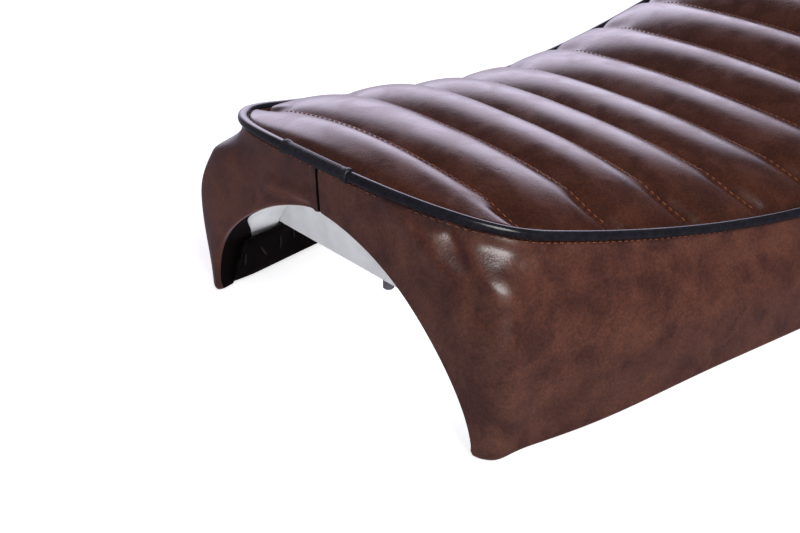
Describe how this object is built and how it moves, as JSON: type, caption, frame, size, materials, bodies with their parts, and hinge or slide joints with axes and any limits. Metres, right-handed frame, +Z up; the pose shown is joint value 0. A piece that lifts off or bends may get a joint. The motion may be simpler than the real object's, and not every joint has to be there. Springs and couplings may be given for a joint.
{
  "type": "motorcycle seat",
  "caption": "Low cafe racer motorcycle seat with a channel-quilted top, piped edge, deep side skirts and an arched nose, bolted through studs in its pan.",
  "frame": {"origin": "middle of the footprint, on the plane of the hem", "axes": "+X to the nose, +Y to the rider's left, +Z up"},
  "size_m": [0.6293, 0.279, 0.1331],
  "materials": {
    "pan": "matte",
    "foam": "matte",
    "quilted_leather": "waxed gloss",
    "side_leather": "satin",
    "piping": "gloss",
    "sleeve": "satin",
    "zinc": "bright zinc"
  },
  "bodies": {
    "root": {"seat_pan": "pan", "foam_pad": "foam", "top_panel": "quilted_leather", "side_panel_left": "side_leather", "side_panel_right": "side_leather", "welt": "piping", "welt_sleeve": "sleeve", "mounting_studs": "zinc", "stud_washers": "zinc", "stud_nuts": "zinc"}
  },
  "joints": []
}
